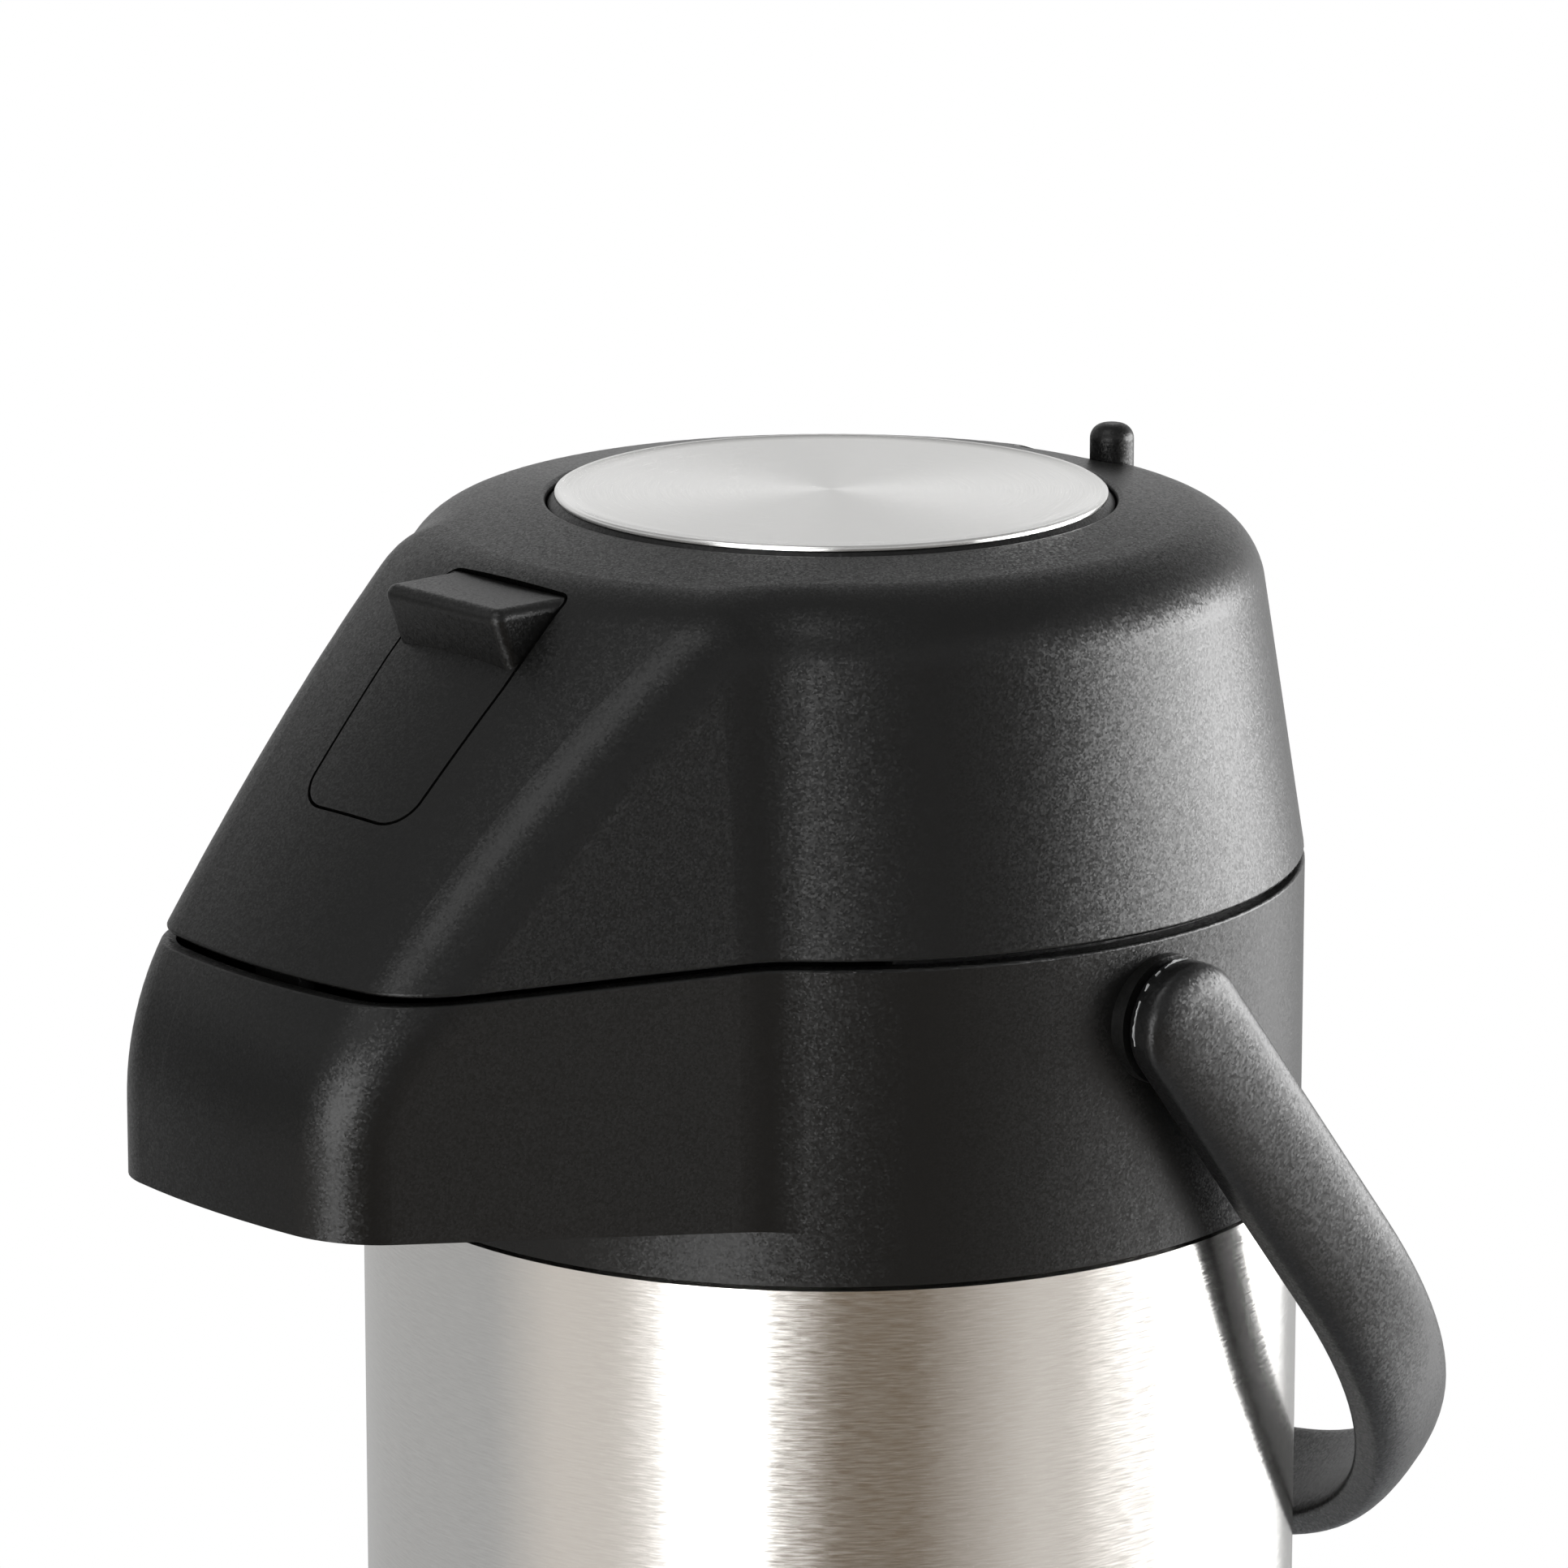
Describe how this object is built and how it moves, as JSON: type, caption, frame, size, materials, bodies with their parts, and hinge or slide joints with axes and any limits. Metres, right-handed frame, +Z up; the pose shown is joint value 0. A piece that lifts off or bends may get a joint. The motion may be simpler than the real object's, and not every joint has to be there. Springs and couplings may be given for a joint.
{
  "type": "airpot",
  "caption": "Pump airpot: steel vacuum flask with black pouring head, press button with lock, latched hinged lid, swinging handle and turning foot.",
  "frame": {"origin": "on the axis of the round body, on the surface that the pot stands on", "axes": "+Z up the body's axis, -Y towards the spout, X along the handle's pivots"},
  "size_m": [0.1806, 0.234, 0.3809],
  "materials": {
    "brushed_steel": "brushed round the body",
    "button_steel": "brushed in circles",
    "flask_steel": "drawn, dull",
    "fastener_steel": "plain bright",
    "black_plastic": "fine moulded grain",
    "handle_plastic": "moulded grain",
    "inner_plastic": "smooth",
    "clear_tube": "smooth",
    "silicone": "matt, soft",
    "foot_rubber": "matt"
  },
  "bodies": {
    "foot": {"foot_plate": "black_plastic", "foot_pad": "foot_rubber"},
    "vessel": {"casing": "brushed_steel", "inner_flask": "flask_steel", "flask_base": "flask_steel", "flask_shoulder": "flask_steel", "casing_bottom": "brushed_steel", "collar": "black_plastic", "nose_cover": "black_plastic", "mouth_ring": "inner_plastic", "flask_gasket": "silicone", "tube_head": "inner_plastic", "dip_tube": "clear_tube", "spout_pipe": "silicone", "spout_outlet": "inner_plastic", "base_ring": "black_plastic", "foot_screw": "fastener_steel", "foot_washer": "fastener_steel", "pivot_pin_left": "fastener_steel", "pivot_pin_right": "fastener_steel", "hinge_pin": "fastener_steel"},
    "handle": {"handle_bail": "handle_plastic"},
    "lid": {"lid_shell": "black_plastic", "lid_liner": "inner_plastic", "lid_seal": "silicone", "liner_screws": "fastener_steel", "bellows": "silicone", "pump_spring": "fastener_steel", "bellows_valve": "silicone", "latch_pin": "fastener_steel"},
    "button": {"button_plate": "button_steel", "button_cup": "black_plastic"},
    "lock": {"lock_ring": "black_plastic"},
    "latch": {"latch_lever": "black_plastic"}
  },
  "joints": [
    {"name": "foot_turn", "type": "hinge", "parent": "foot", "child": "vessel", "pos_m": [0, 0, 0], "axis": [0, 0, 1], "continuous": true},
    {"name": "handle_swing", "type": "hinge", "parent": "vessel", "child": "handle", "pos_m": [0, 0, 0.302], "axis": [1, 0, 0], "range_deg": [0, 284]},
    {"name": "lid_hinge", "type": "hinge", "parent": "vessel", "child": "lid", "pos_m": [0, 0.0846, 0.316], "axis": [-1, 0, 0], "range_deg": [0, 85]},
    {"name": "pump_press", "type": "slide", "parent": "lid", "child": "button", "axis": [0, 0, -1], "range_m": [0, 0.026], "stiffness_N_per_m": 250, "springref_m": -0.04, "deforming": ["bellows", "pump_spring"]},
    {"name": "lock_turn", "type": "hinge", "parent": "lid", "child": "lock", "pos_m": [0, 0, 0.316], "axis": [0, 0, -1], "range_deg": [-16, 0]},
    {"name": "latch_pull", "type": "hinge", "parent": "lid", "child": "latch", "pos_m": [0, -0.09586, 0.33933], "axis": [1, 0, 0], "range_deg": [0, 5], "stiffness_Nm_per_rad": 0.15, "springref_deg": -17.19}
  ]
}
